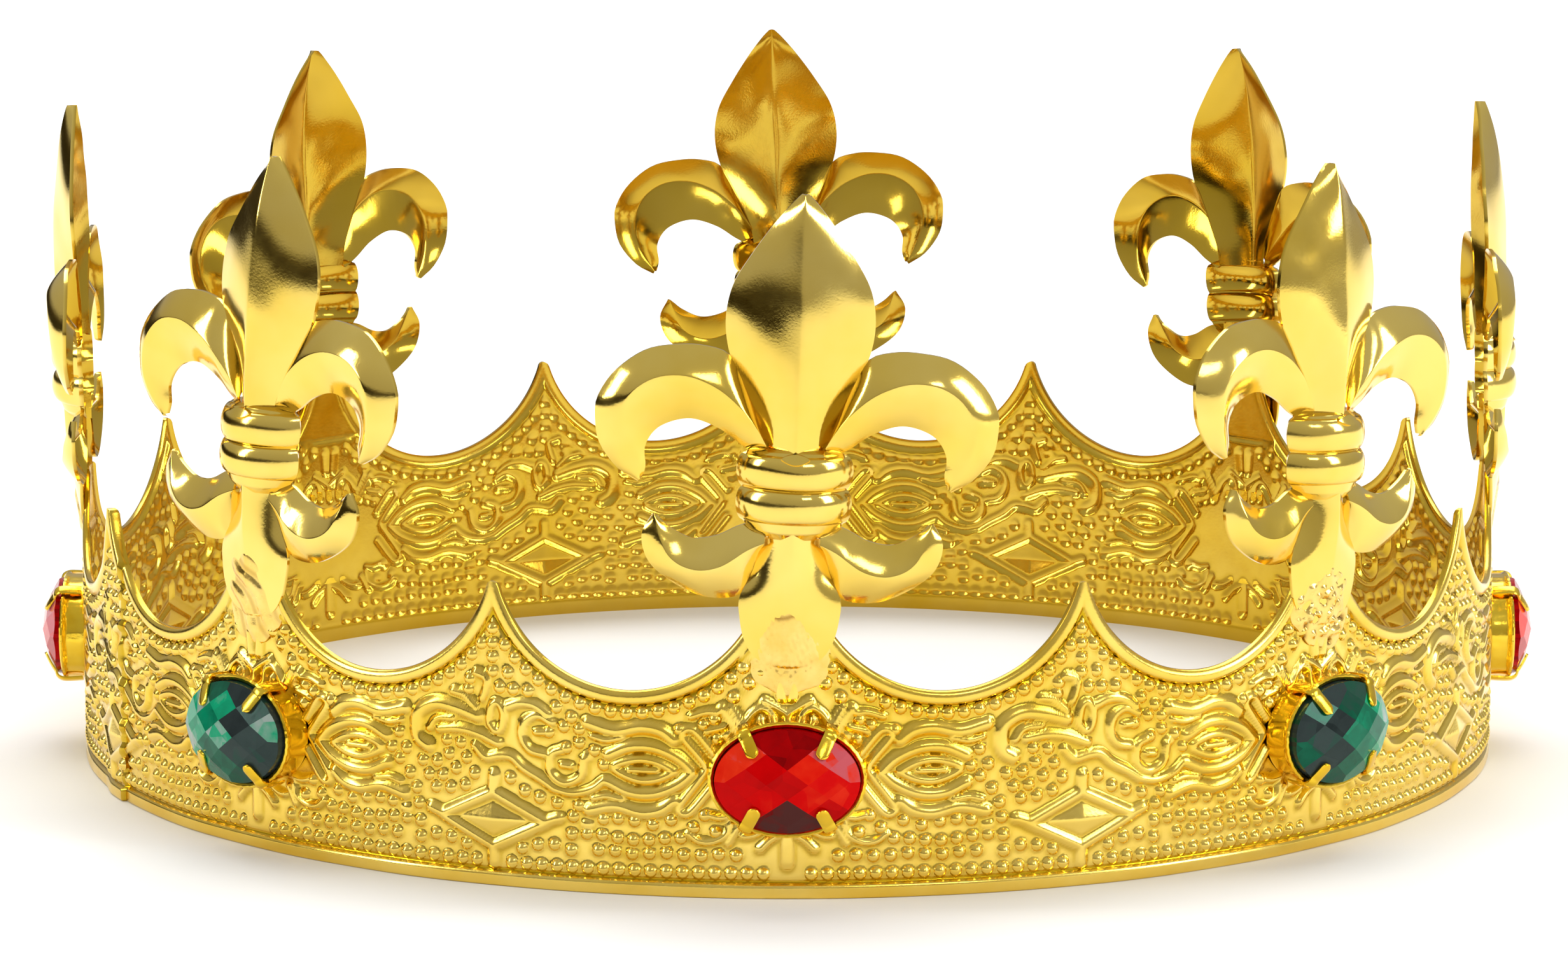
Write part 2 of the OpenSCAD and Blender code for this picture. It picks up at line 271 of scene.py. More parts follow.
def stoneMaterial(name):
    spec = stoneFinishes[name]
    made, nodes, links, shader = newMaterial(name)
    place = nodes.new("ShaderNodeTexCoord").outputs["Object"]
    facet = nodes.new("ShaderNodeAttribute")
    facet.attribute_name = "paintedFacetLight"
    cloud = noiseNode(nodes, links, place, 420, 3)
    # painted reflection: small cells of slightly different tone stand in for the facets of a hidden back
    # showing through
    cells = nodes.new("ShaderNodeTexVoronoi")
    cells.inputs["Scale"].default_value = 330
    links.new(place, cells.inputs["Vector"])
    inner = spreadNode(nodes, links, cells.outputs["Color"], 0, 1, -0.09, 0.09)
    haze = spreadNode(nodes, links, cloud.outputs["Fac"], 0.3, 0.7, -0.05, 0.05)
    mixed = sumNode(nodes, links, facet.outputs["Fac"], inner.outputs["Result"])
    mixed = sumNode(nodes, links, mixed.outputs["Value"], haze.outputs["Result"])
    tone = rampNode(nodes, links, mixed.outputs["Value"], spec["litAndShadedTones"])
    links.new(tone.outputs["Color"], shader.inputs["Base Color"])
    scuff = noiseNode(nodes, links, place, 900, 4, 0.7)
    polish = spreadNode(nodes, links, scuff.outputs["Fac"], 0.35, 0.75, 0.06, 0.16)
    links.new(polish.outputs["Result"], shader.inputs["Roughness"])
    shader.inputs["IOR"].default_value = 1.45
    shader.inputs["Specular IOR Level"].default_value = 0.25
    shader.inputs["Specular Tint"].default_value = (*spec["gleam"], 1)
    shader.inputs["Coat Weight"].default_value = 0.05
    shader.inputs["Coat Roughness"].default_value = 0.03
    bump = bumpNode(nodes, links, scuff.outputs["Fac"], 0.15, 0.00002)
    links.new(bump.outputs["Normal"], shader.inputs["Normal"])
    return made


bandGold = goldMaterial("bandGold", "crease")
fleurGold = goldMaterial("fleurGold", "crease")
cupGold = goldMaterial("cupGold")
solderGold = goldMaterial("solderGold", "crease")
redStone = stoneMaterial("redStone")
greenStone = stoneMaterial("greenStone")
print("crown: finishes ready")


strip = {
    "sheet": 0.5,
    "cusp": 38.6,
    "cuspRound": 0.65,
    "cuspDrop": 0.3,
    "peak": 38.0,
    "scallopAt": 20.0,
    "scallopCentre": 43.3,
    "scallopRadius": 17.5,
    "border": 1.8,
    "borderTall": 0.5,
    "hem": 1.6,
    "hemTall": 0.45,
    "hemSoft": 0.35,
    "hemGroove": 0.16,
    "grooveOff": 0.5,
    "grooveWide": 0.22,
    "seatWide": 6.3,  # pressed flat under each foot
    "seatFrom": 29.6,
    "seatTall": 0.42,
    "seatSoft": 0.8,
    "beadRadius": 0.93,
    "beadTall": 0.6,
    "beadUnder": 0.55,  # share of the bead pressed into the sheet itself
    "beadApart": 1.3,
    "beadSink": 0.06,
    "clearOfBorder": 0.5,
    "clearOfFoot": (6.6, 29.2),  # to each side, and from this height up
    "clearOfCup": (10.2, 7.6),  # half length and half height of the oval left free
    "lineTall": 0.56,
    "crease": 0.2,
    "creaseOff": 0.22,
    "creaseWide": 0.26,
    "hollowDepth": 0.1,
    "hollowShade": 0.6,
    "pitch": 0.29,
    "finePitch": 0.19,
    "beadSides": 12,
    "crisp": 55,  # degrees; sharper bends than this stay crisp
    "innerShade": 0.6,  # painted shade: how much darker the inner side is
    "rows": 116,
    "wave": 0.13,
    "lapAt": -112.5,
    "lapWide": 4.0,
    "lapTall": 0.6,
    "lapSlope": 6.0,
}

# Motifs between one fleur and the next: s along the strip, z up. The paired ones are repeated mirrored.
pairedBeads = [(2.95 + 2.01 * i, 3.1) for i in range(17)]
pairedBeads += [(6.3 + 2.17 * i, 5.35 + 0.15 * math.sin(1.9 * i)) for i in range(9)]
pairedBeads += [(27.2, 5.2), (29.4, 5.8), (31.6, 5.6), (33.7, 5.0)]
pairedBeads += [(13.2 + 1.99 * i, 7.2 + 0.25 * math.cos(1.1 * i)) for i in range(8)]
pairedBeads += [
    (14.4, 9.7), (16.7, 9.0), (19.0, 9.4), (21.1, 9.6), (23.0, 9.4), (25.1, 8.6), (26.9, 9.5),
]
scallopBeads = {"turns": range(-8, 10), "gap": 2.03, "radius": 20.35}
for step in scallopBeads["turns"]:
    turn = step * scallopBeads["gap"] / scallopBeads["radius"]
    reach, drop = scallopBeads["radius"] * math.sin(turn), scallopBeads["radius"] * math.cos(turn)
    pairedBeads.append((strip["scallopAt"] + reach, strip["scallopCentre"] - drop))
pairedBeads += [
    (3.2, 28.6), (4.7, 27.1), (6.6, 25.3), (4.1, 30.7), (8.9, 22.5), (10.3, 21.8), (7.2, 20.6),
    (8.6, 20.1), (13.3, 21.1), (10.2, 10.4), (8.8, 8.3), (11.6, 8.8),
]

singleBeads = [
    (37.4, 32.6), (37.4, 30.8), (37.4, 29.0), (37.4, 27.2), (39.5, 27.1), (38.4, 25.2), (40.2, 25.1),
    (42.2, 25.0), (45.9, 23.2), (47.9, 22.0), (46.9, 20.8), (48.9, 20.6), (48.9, 18.9), (47.2, 18.1),
    (50.9, 18.0), (44.9, 20.0), (52.1, 16.3), (24.0, 18.3), (22.9, 16.3), (25.1, 16.3), (24.1, 14.9),
    (25.6, 13.2), (26.6, 11.4), (27.5, 15.0), (28.4, 13.3), (29.6, 15.1), (30.4, 13.4), (29.4, 11.8),
    (31.5, 11.9), (31.0, 18.0), (33.0, 17.8), (31.3, 16.2), (33.8, 15.9), (32.3, 14.4), (34.9, 14.0),
    (33.6, 12.4), (39.8, 13.8), (41.7, 12.3), (43.7, 11.6), (46.0, 11.1), (48.8, 10.9), (34.1, 24.7),
    (34.3, 26.0), (50.0, 17.3),
]

# width, then the points the ridge runs through
pairedRidges = [
    (0.69, [(0, 21.6), (0, 23.4)]),
    (0.69, [(0, 23.3), (1.4, 24.2), (2.8, 25.0)]),
    (0.69, [(1.8, 21.8), (2.0, 23.4), (3.1, 24.1), (4.3, 23.4), (5.0, 22.2)]),
    (0.55, [(3.1, 21.8), (3.2, 22.7)]),
    (0.86, [(5.7, 20.9), (8.0, 24.0)]),
    (0.62, [(5.3, 21.6), (6.9, 24.2)]),
    (0.66, [(8.4, 23.4), (9.9, 23.5), (11.8, 22.9)]),
    (0.66, [(7.7, 21.6), (9.8, 21.1)]),
    (0.72, [
        (9.0, 18.3), (11.2, 20.9), (12.3, 21.3), (12.9, 20.4), (10.7, 17.7), (9.9, 16.4),
        (10.7, 15.1), (13.3, 11.5), (12.8, 10.5), (11.7, 11.0), (9.2, 14.1),
    ]),
    (0.62, [(7.0, 10.4), (8.4, 10.2), (9.8, 10.5)]),
    (0.62, [(7.0, 9.6), (7.6, 8.0), (9.3, 7.1), (11.0, 7.2), (12.2, 8.1)]),
    (0.69, [(6.1, 9.1), (7.3, 7.0)]),
    (0.69, [(0.8, 8.2), (2.1, 7.5), (3.3, 6.3)]),
    (0.58, [(2.4, 9.0), (4.2, 8.0), (5.4, 7.9)]),
    (1.05, [(0, 8.6), (0, 4.5)]),
    (0.86, [(0.95, 28.1), (0.7, 25.4)]),
    (1.0, [(11.6, 15.9), (13.5, 17.6), (16.4, 18.8), (19.5, 18.8), (22.3, 17.6)]),
    (1.0, [(11.6, 15.8), (13.5, 14.2), (16.4, 13.0), (19.5, 13.0), (22.3, 14.2)]),
    (0.75, [
        (13.9, 15.9), (16.2, 17.0), (18.8, 17.2), (21.6, 16.1), (18.8, 14.7), (16.2, 14.8), (13.9, 15.8),
    ]),
    (0.6, [(16.2, 15.9), (19.6, 15.9)]),
    (1.1, [(14.0, 19.8), (15.7, 21.0), (18.2, 21.35), (21.5, 20.7), (24.9, 21.5)]),
    (0.6, [(20.6, 19.9), (22.6, 19.5), (24.4, 19.9)]),
    (1.1, [(14.0, 12.1), (15.7, 10.9), (18.2, 10.5), (21.5, 11.2), (24.8, 10.5)]),
    (0.6, [(20.6, 12.1), (22.6, 12.4), (24.3, 12.0)]),
]

singleRidges = [
    (1.15, [
        (28.3, 17.0), (27.0, 17.9), (26.7, 19.6), (27.2, 21.3), (29.5, 22.5), (32.5, 22.2), (35.3, 21.4),
    ]),
    (0.62, [(28.6, 19.2), (29.7, 20.6), (32.0, 20.8)]),
    (0.83, [(30.0, 19.3), (32.8, 19.6), (35.5, 19.2), (38.2, 18.2)]),
    (0.83, [
        (35.1, 17.6), (36.5, 16.3), (38.2, 16.6), (40.0, 16.6), (41.6, 15.3), (44.0, 14.0), (45.7, 12.9),
    ]),
    (0.76, [(45.7, 12.9), (48.0, 12.5), (50.5, 13.1), (52.2, 14.4)]),
    (0.69, [(32.0, 24.3), (33.6, 23.9), (35.3, 22.5)]),
    (0.66, [(35.2, 26.9), (36.7, 26.3), (36.6, 25.0), (36.1, 23.6)]),
    (0.69, [
        (37.0, 21.2), (37.4, 22.9), (38.3, 23.3), (39.0, 22.0), (38.7, 20.2), (37.9, 19.7), (37.1, 20.6),
    ]),
    (0.83, [(39.5, 22.9), (41.2, 23.5), (43.2, 23.3), (44.9, 22.2)]),
    (0.76, [(45.3, 21.3), (43.6, 22.1), (41.9, 21.2), (41.4, 19.4), (42.4, 17.7), (44.2, 17.2)]),
    (0.58, [(43.3, 19.9), (44.9, 20.0)]),
    (0.76, [(49.6, 16.9), (49.0, 14.6), (46.9, 13.7), (45.2, 15.0), (45.3, 17.2), (46.7, 17.9)]),
    (0.58, [(46.7, 16.0), (47.8, 15.9)]),
]

# the lozenge under each cusp, a frame round a low pyramid
lozenge = {
    "at": 37.5,
    "z": 8.5,
    "half": 7.1,
    "tall": 3.45,
    "line": 0.95,
    "stub": 1.6,
    "stubUp": 2.1,
    "stubDown": 2.2,
    "inner": 5.5,
    "innerTall": 2.45,
    "floor": 0.1,
    "rise": 0.6,
}


def stripTop(s):
    reach = np.minimum(np.abs(s - strip["scallopAt"]), np.abs(crown["period"] - strip["scallopAt"] - s))
    inside = np.clip(strip["scallopRadius"] ** 2 - reach**2, 0, None)
    top = np.where(reach < strip["scallopRadius"], strip["scallopCentre"] - np.sqrt(inside), 99.0)
    nearCusp = np.abs(s - crown["period"] / 2)
    roundedTip = strip["cusp"] - strip["cuspDrop"] * np.minimum(nearCusp / strip["cuspRound"], 1) ** 2
    limit = np.where(nearCusp < 10, roundedTip, strip["peak"])
    return np.minimum(top, limit)


def ridgeBump(s, z, points, wide, tall):
    line = np.asarray(points, float)
    if len(line) > 2:
        line = smoothLine(line, 4 * len(line))
    best = np.full(s.shape, 99.0)
    for a, b in zip(line[:-1], line[1:]):
        run = b - a
        t = np.clip(((s - a[0]) * run[0] + (z - a[1]) * run[1]) / max(run @ run, 1e-9), 0, 1)
        best = np.minimum(best, np.hypot(s - a[0] - t * run[0], z - a[1] - t * run[1]))
    return tall * np.clip(1 - (best / wide) ** 2, 0, 1) ** 1.15


def stripRelief(s, z):
    # height of the embossing over the flat strip, for one period, and the painted shade in its creases and
    # hollows
    period = crown["period"]
    h = np.zeros(s.shape)

    def beads(spots, paired):
        under = strip["beadTall"] * strip["beadUnder"]
        for bs, bz in spots:
            for at in [bs, bs - period, bs + period] + ([-bs, period - bs] if paired else []):
                away = ((s - at) ** 2 + (z - bz) ** 2) / strip["beadRadius"] ** 2
                np.maximum(h, under * np.clip(1 - away, 0, 1), out=h)

    def ridges(lines, paired):
        for wide, points in lines:
            tall = strip["lineTall"] * (1.15 if wide > 0.9 else 1)
            for side in (1, -1) if paired else (1,):
                for shift in (-period, 0, period):
                    moved = [(side * p[0] + shift, p[1]) for p in points]
                    if max(m[0] for m in moved) < -2 or min(m[0] for m in moved) > period + 2:
                        continue
                    np.maximum(h, ridgeBump(s, z, moved, wide, tall), out=h)

    beads(pairedBeads, True)
    beads(singleBeads, False)
    ridges(pairedRidges, True)
    ridges(singleRidges, False)
    # lozenge: a frame with four stubs and a low pyramid
    cx, cz, half, tall, stub = (lozenge[key] for key in ("at", "z", "half", "tall", "stub"))
    corners = [(cx - half, cz), (cx, cz + tall), (cx + half, cz), (cx, cz - tall)]
    lines = [[corners[i], corners[(i + 1) % 4]] for i in range(4)]
    for side in (1, -1):
        lines.append([(cx + side * (half - 0.4), cz), (cx + side * (half + stub), cz + 0.7)])
    lines.append([(cx, cz + tall), (cx + 0.1, cz + tall + lozenge["stubUp"])])
    lines.append([(cx, cz - tall), (cx, cz - tall - lozenge["stubDown"])])
    for line in lines:
        np.maximum(h, ridgeBump(s, z, line, lozenge["line"], strip["lineTall"]), out=h)
    inside = 1 - (np.abs(s - cx) / lozenge["inner"] + np.abs(z - cz) / lozenge["innerTall"])
    np.maximum(h, lozenge["floor"] * (inside > 0) + lozenge["rise"] * np.clip(inside, 0, 1), out=h)
    # seats pressed flat under the feet
    soft = strip["seatSoft"]
    seat = np.clip((strip["seatWide"] - np.minimum(s, period - s)) / soft, 0, 1)
    seat = seat * np.clip((z - strip["seatFrom"]) / soft, 0, 1)
    h = h * (1 - seat) + strip["seatTall"] * seat
    # rolled border with a crease under it
    deep = np.minimum(
        np.hypot(s - strip["scallopAt"], z - strip["scallopCentre"]),
        np.hypot(s - period + strip["scallopAt"], z - strip["scallopCentre"]),
    ) - strip["scallopRadius"]
    border = strip["border"]
    roll = strip["borderTall"] * np.clip(1 - ((deep - border / 2) / (border / 2)) ** 2, 0, 1) ** 0.6
    h = np.where(deep < border, np.maximum(roll, h * np.clip(deep - border + 1, 0, 1)), h)
    crease = np.exp(-(((deep - border - strip["creaseOff"]) / strip["creaseWide"]) ** 2))
    h -= strip["crease"] * crease * (1 - seat)
    # turned hem
    hem = np.clip((strip["hem"] + strip["hemSoft"] - z) / strip["hemSoft"], 0, 1)
    rounding = np.sqrt(np.clip(1 - np.clip(1 - z / 0.5, 0, 1) ** 2, 0, 1))
    h = h * (1 - hem) + strip["hemTall"] * hem * (0.45 + 0.55 * rounding)
    low = np.exp(-(((z - strip["hem"] - strip["grooveOff"]) / strip["grooveWide"]) ** 2))
    h -= strip["hemGroove"] * low
    # painted shade: darker in the crease under the rolled border, in the hem groove and in the hollows
    shadeAndLapLine = np.clip(crease * 0.8 + low * 0.9 + strip["hollowShade"] * hollows(h), 0, 1)
    return h, shadeAndLapLine


def hollows(h):
    # where the sheet lies lower than what is round it; this sets the painted shade in hollows
    soft = h
    for axis in (0, 1):
        soft = (np.roll(soft, 2, axis) + np.roll(soft, -2, axis) + soft) / 3
    return np.clip((soft - h) / strip["hollowDepth"], 0, 1)


def stripColumns():
    period, at, found = crown["period"], 0.0, []
    while at < period - 0.05:
        found.append(at)
        near = min(abs(at - period / 2), at, period - at)
        at += strip["finePitch"] if near < 3.2 else strip["pitch"]
    return np.array(found)


def stripLie(s, z):
    # how far the sheet stands off its circle: a thin sheet is never quite round
    period = crown["period"]
    turn = s / period * math.pi / 4
    wave = strip["wave"] * (np.sin(5 * turn + 0.6) * 0.8 + np.sin(13 * turn + 1.9 + z * 0.05) * 0.5)
    wave += strip["wave"] * 0.5 * np.sin(29 * turn + 0.4) * np.sin(z * 0.13 + 2 * turn)
    # the lap: the strip's left end lies over its right end
    past = (s - (strip["lapAt"] + 8 * period)) % (8 * period)
    past = np.where(past > 4 * period, past - 8 * period, past)
    slope = strip["lapSlope"]
    lap = np.where((past > -slope) & (past < strip["lapWide"]), np.clip((past + slope) / slope, 0, 1), 0)
    lift = strip["lapTall"] * lap**2 * (3 - 2 * lap)
    return turn, wave, lift, np.exp(-(((past - strip["lapWide"] - 0.1) / 0.3) ** 2))


def beadSpots():
    period = crown["period"]
    spots = list(singleBeads)
    for s, z in pairedBeads:
        spots += [(s, z), (period - s, z)] if abs(s - period / 2) > 0.6 else [(s, z)]
    kept = []
    for s, z in spots:
        s = s % period
        near = min(s, period - s)
        reach = min(abs(s - strip["scallopAt"]), abs(period - strip["scallopAt"] - s))
        clear = math.hypot(reach, z - strip["scallopCentre"]) - strip["scallopRadius"] - strip["border"]
        underFoot = near < strip["clearOfFoot"][0] and z > strip["clearOfFoot"][1]
        halfLong, halfHigh = strip["clearOfCup"]
        underCup = (near / halfLong) ** 2 + ((z - crown["stoneHeight"]) / halfHigh) ** 2 < 1
        if clear < strip["clearOfBorder"] or underFoot or underCup:
            continue
        if all(math.hypot(s - a, z - b) > strip["beadApart"] for a, b in kept):
            kept.append((s, z))
    return kept


def makeBeads():
    # round heads over the pressed beads, as closed caps
    spots = np.array([(s + k * crown["period"], z) for k in range(8) for s, z in beadSpots()])
    ring = np.linspace(0, 2 * math.pi, strip["beadSides"], endpoint=False)
    rings = [1.0, 0.86, 0.68, 0.46, 0.22]
    s = np.stack([spots[:, :1] + strip["beadRadius"] * q * np.cos(ring)[None] for q in rings], 1)
    z = np.stack([spots[:, 1:] + strip["beadRadius"] * q * np.sin(ring)[None] for q in rings], 1)
    high = np.array([-strip["beadSink"]] + [strip["beadTall"] * (1 - q * q) ** 1.1 for q in rings[1:]])
    s = np.concatenate([s.reshape(len(spots), -1), spots[:, :1]], 1)
    z = np.concatenate([z.reshape(len(spots), -1), spots[:, 1:]], 1)
    high = np.concatenate([np.repeat(high, len(ring)), [strip["beadTall"]]])
    _, wave, lift, _ = stripLie(spots[:, :1] + 0 * s, spots[:, 1:] + 0 * z)
    r = crown["radius"] + wave + lift + high[None]
    turn = s / crown["period"] * math.pi / 4
    verts = np.stack([r * np.sin(turn), -r * np.cos(turn), z], 2) * 0.001
    n = len(ring)
    here, after = np.arange(n), (np.arange(n) + 1) % n
    lower = n * np.arange(len(rings) - 1)[:, None]
    faces = np.stack([lower + here, lower + after, lower + n + after, lower + n + here], -1).reshape(-1, 4)
    top = len(rings) * n
    tips = np.stack([top - n + here, top - n + after, np.full(n, top)], -1)
    each = verts.shape[1]
    shift = (np.arange(len(spots)) * each)[:, None, None]
    quads = (faces[None] + shift).reshape(-1, 4)
    tips = (tips[None] + shift).reshape(-1, 3)
    under = (np.arange(n)[::-1][None] + shift[:, 0]).reshape(len(spots), n)
    return verts.reshape(-1, 3), s.reshape(-1), z.reshape(-1), quads, tips, under


def makeStrip():
    period = crown["period"]
    columns = stripColumns()
    low = np.array([0.0, 0.12, 0.3, 0.5, 0.9, 1.3, 1.6, 1.78, 1.95, 2.1, 2.3, 2.5])
    rise = np.linspace(0, 1, strip["rows"])[1:]
    top = stripTop(columns)
    above = low[-1] + rise[:, None] * (top - low[-1])[None]
    z = np.concatenate([np.repeat(low[:, None], len(columns), 1), above])
    s = np.repeat(columns[None], z.shape[0], 0)
    relief, shadeAndLapLine = stripRelief(s, z)
    rows, wide = z.shape
    total = wide * len(crown["places"])
    sAll = np.concatenate([s + k * period for k in range(8)], 1)
    zAll = np.tile(z, (1, 8))
    out = np.tile(relief, (1, 8))
    shadeAndLapLine = np.tile(shadeAndLapLine, (1, 8))
    turn, wave, lift, lapEdge = stripLie(sAll, zAll)
    # darker along the foot of the lap's edge
    shadeAndLapLine = np.maximum(shadeAndLapLine, lapEdge)
    rOut = crown["radius"] + out + wave + lift
    inward = np.clip((zAll - 2.0) / 0.6, 0, 1)
    rIn = crown["radius"] - strip["sheet"] + out * inward * 0.9 + wave
    grids = []
    for r in (rOut, rIn):
        grids.append(np.stack([r * np.sin(turn), -r * np.cos(turn), zAll], 2) * 0.001)
    verts = np.concatenate([g.reshape(-1, 3) for g in grids])
    i, j = np.meshgrid(np.arange(rows - 1), np.arange(total), indexing="ij")
    k = (j + 1) % total
    base = rows * total
    outside = np.stack([i * total + j, i * total + k, (i + 1) * total + k, (i + 1) * total + j], 2)
    inside = base + outside[:, :, ::-1]
    j = np.arange(total)
    k = (j + 1) % total
    foot = np.stack([j, base + j, base + k, k], 1)
    head = (rows - 1) * total
    crest = np.stack([head + j, head + k, base + head + k, base + head + j], 1)
    faces = np.concatenate([outside.reshape(-1, 4), inside.reshape(-1, 4), foot, crest])
    beadVerts, sBead, zBead, quads, tips, under = makeBeads()
    allFaces = faces.tolist()
    for beadFaces in (quads, tips, under):
        allFaces += (beadFaces + len(verts)).tolist()
    allVerts = np.concatenate([verts, beadVerts]).tolist()
    node, slot = "embossed_band", "band_gold"
    piece = finishPiece("embossedStrip", allVerts, allFaces, bandGold, node, strip["crisp"], False)
    shadeAndLapLine = shadeAndLapLine.reshape(-1)
    # painted shade: the outer side takes the crease and hollow shade, the inner side is darker throughout
    # and takes a quarter of that shade; the bead heads take none
    paintPoints(piece, np.concatenate([shadeAndLapLine, strip["innerShade"] + 0.25 * shadeAndLapLine, np.zeros(len(beadVerts))]))
    mesh = piece.data
    # flat layout of the strip: sixteen tiles, one for each side of each period
    corner = np.empty(len(mesh.loops), np.int32)
    mesh.loops.foreach_get("vertex_index", corner)
    sizes = np.empty(len(mesh.polygons), np.int32)
    mesh.polygons.foreach_get("loop_total", sizes)
    owner = np.repeat(np.arange(len(sizes)), sizes)
    starts = np.concatenate([[0], np.cumsum(sizes)[:-1]])
    sLoop = np.concatenate([sAll.reshape(-1), sAll.reshape(-1), sBead])[corner]
    zLoop = np.concatenate([zAll.reshape(-1), zAll.reshape(-1), zBead])[corner]
    furthest = np.maximum.reduceat(sLoop, starts)[owner]
    sLoop = np.where(sLoop < furthest - 4 * period, sLoop + 8 * period, sLoop)
    nearest = np.minimum.reduceat(sLoop, starts)
    octant = (np.floor((nearest + 0.001) / period).astype(int) % 8)[owner]
    octant = np.where(nearest[owner] < 0, -1, octant)
    side = np.zeros(len(sizes), int)
    half = outside.shape[0] * outside.shape[1]
    side[half:2 * half] = 1
    rim = np.zeros((len(sizes), 4))
    rim[2 * half:2 * half + total, 1:3] = -0.5
    rim[2 * half + total:2 * half + 2 * total, 2:4] = 0.5
    nth = np.minimum(np.arange(len(owner)) - starts[owner], 3)
    zLoop = zLoop + rim[owner, nth]
    tile = np.where(octant < 0, 7, octant) * 2 + side[owner]
    along = np.clip(sLoop / period - octant, -0.02, 1.02)
    u = (tile % 4 + 0.03 + 0.94 * along) / 4
    v = (tile // 4 + 0.03 + 0.94 * zLoop / 39) / 4
    layer = mesh.uv_layers.new(name="OFBake")
    layer.uv.foreach_set("vector", np.stack([u, v], 1).reshape(-1).astype(np.float32))


makeStrip()
print("crown: strip embossed")


fleur = {
    "sheet": 0.5,
    "stemSheet": 0.42,
    "collarSheet": 0.55,
    "collarInner": 0.93,  # share of the collar's width on its inner side
    "capSheet": 0.6,
    "petal": [  # height, half width, ridge
        (26.6, 3.9, 3.0), (29.6, 4.4, 3.2), (32.5, 5.6, 3.35), (35.5, 7.0, 3.45), (39.0, 8.6, 3.45),
        (43.1, 9.15, 3.3), (47.2, 8.4, 3.0), (51.1, 6.2, 2.55), (54.9, 3.6, 1.9), (57.5, 1.5, 1.25),
        (58.6, 0.4, 0.85),
    ],
    "armOuter": [
        (4.0, 28.6), (5.2, 31.8), (6.7, 35.2), (8.5, 38.5), (11.3, 39.5), (14.5, 39.6), (18.7, 38.8),
        (22.4, 36.1), (24.4, 33.0), (24.7, 30.6), (24.1, 27.2), (21.8, 24.1), (19.2, 22.5),
    ],
    "armRidge": [
        (3.6, 27.6), (5.0, 30.0), (7.1, 32.5), (10.1, 34.8), (13.8, 36.1), (17.5, 35.7), (20.4, 33.6),
        (21.7, 30.2), (21.2, 26.4), (19.0, 22.8),
    ],
    "armInner": [
        (4.4, 26.2), (6.7, 27.5), (9.5, 29.4), (13.1, 30.5), (16.7, 29.4), (18.4, 27.0), (18.3, 24.4),
        (18.7, 22.9),
    ],
    "armTall": [1.3, 2.3, 2.6, 2.6, 2.3, 1.7, 0.5],
    "curlOuter": [
        (3.8, 14.6), (4.9, 11.4), (6.3, 8.8), (10.2, 8.4), (14.0, 9.8), (17.4, 12.4), (18.5, 15.8),
        (17.2, 18.5),
    ],
    "curlRidge": [(3.4, 15.6), (5.6, 14.6), (8.9, 12.5), (12.3, 12.1), (15.3, 13.9), (17.0, 18.4)],
    "curlInner": [(3.4, 18.3), (6.4, 17.5), (9.3, 16.1), (12.3, 15.7), (15.0, 16.9), (16.7, 18.3)],
    "curlTall": [1.6, 2.2, 2.3, 2.0, 1.4, 0.4],
    "stem": [  # height, half width, ridge, edge
        (18.2, 3.6, 3.0, 0.0), (15.5, 3.75, 2.9, 0.0), (12.0, 4.7, 2.7, 0.1), (8.6, 6.2, 2.2, 0.4),
        (6.0, 6.1, 1.8, 0.5), (3.4, 5.5, 1.4, 0.5), (1.4, 4.3, 1.1, 0.5), (0.3, 2.6, 0.95, 0.5),
        (0.0, 1.6, 0.85, 0.5),
    ],
    "collarFrom": 16.2,
    "collarTo": 27.35,
    "skirt": [  # height, half width, depth
        (16.2, 3.9, 2.3), (17.1, 5.3, 3.0), (18.2, 6.2, 3.35), (26.6, 6.3, 3.35), (27.0, 5.6, 3.1),
        (27.35, 4.4, 2.6),
    ],
    "rolls": [(20.35, 2.1), (24.5, 2.1)],  # height, radius
    "rollOut": 1.05,
    "rollSide": 0.9,
    "cap": (26.5, 1.8, 0.6, 4.15),  # facet over the collar: height, half width, half height, reach
    "capFall": 0.35,
    "dent": 0.12,
    "petalBulge": 0.22,
    "armBulge": 0.42,
    "stemBulge": 0.35,
    "crisp": 22,  # degrees; sharper bends than this stay crisp
    "innerShade": 0.75,  # painted shade: how much darker the inner side is
}


def columnsOf(table, count):
    line = smoothLine(table, count)
    return [line[:, k] for k in range(line.shape[1])]


def crestProfile(across, bulge, soft=0.0008):
    # 1 on the ridge, 0 on the edge: a slightly rounded crest between two bulging faces
    bend = np.sqrt(across**2 + soft) - math.sqrt(soft)
    away = np.clip(bend / (math.sqrt(1 + soft) - math.sqrt(soft)), 0, 1)
    return 1 - (1 - bulge) * away - bulge * away**2


def acrossSteps(count):
    # closer together on the ridge, so that it stays crisp
    t = np.linspace(-1, 1, count)
    return np.sign(t) * np.abs(t) ** 1.6


def bladeSheet(part, outer, ridge, inner, talls, side, shape):
    # a pressed blade between two edges with a ridge along it
    count = 44
    o, r, n = smoothLine(outer, count), smoothLine(ridge, count), smoothLine(inner, count)
    tall = np.interp(np.linspace(0, 1, count), np.linspace(0, 1, len(talls)), talls)
    across = acrossSteps(23)
    front = np.zeros((count, len(across), 3))
    for j, t in enumerate(across):
        edge = o if t < 0 else n
        front[:, j, :2] = r + (edge - r) * abs(t)
        front[:, j, 2] = tall * crestProfile(np.full(count, abs(t)), fleur["armBulge"])
    front[..., 0] *= side
    back = front.copy()
    back[..., 2] -= fleur["sheet"]
    addSheet(part, shape(front), shape(back))


